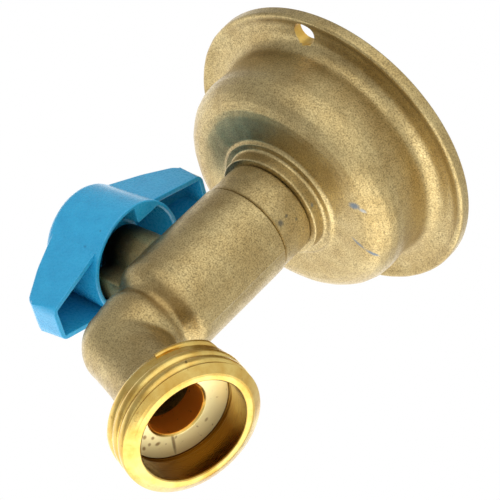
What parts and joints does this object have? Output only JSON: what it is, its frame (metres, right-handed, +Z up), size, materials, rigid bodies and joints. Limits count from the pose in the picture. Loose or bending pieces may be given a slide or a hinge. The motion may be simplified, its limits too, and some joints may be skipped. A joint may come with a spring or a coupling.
{
  "type": "hose bibb",
  "caption": "Wall-mounted cast brass hose tap: round flange with a cup-shaped bell, straight ball valve body, bent threaded hose outlet and a blue winged lever-turn handle.",
  "frame": {"origin": "centre of the flange's back face, in the plane of the wall", "axes": "+Y along the body into the wall, +Z up along the spindle to the handle, +X to the right seen from the front"},
  "size_m": [0.0652, 0.0875, 0.0652],
  "materials": {
    "cast_brass": "sand-cast and tumbled, matt",
    "turned_brass": "turned",
    "chromed_ball": "polished",
    "white_plastic": "waxy",
    "black_rubber": "smooth",
    "blue_plastic": "moulded, glossy",
    "zinc_steel": "zinc plated"
  },
  "bodies": {
    "tap": {"valve_body": "cast_brass", "wall_flange": "cast_brass", "body_seal": "black_rubber", "front_seat": "white_plastic", "rear_seat": "white_plastic", "seat_retainer": "turned_brass", "stem_washer": "white_plastic"},
    "turning": {"ball": "chromed_ball", "stem": "turned_brass", "stem_ring_lower": "black_rubber", "stem_ring_upper": "black_rubber", "handle": "blue_plastic", "handle_insert": "turned_brass", "screw_washer": "zinc_steel", "handle_screw": "zinc_steel", "handle_cap": "blue_plastic"}
  },
  "joints": [
    {"name": "quarter_turn", "type": "hinge", "parent": "tap", "child": "turning", "pos_m": [0, -0.0454, 0], "axis": [0, 0, -1], "range_deg": [0, 90]}
  ]
}
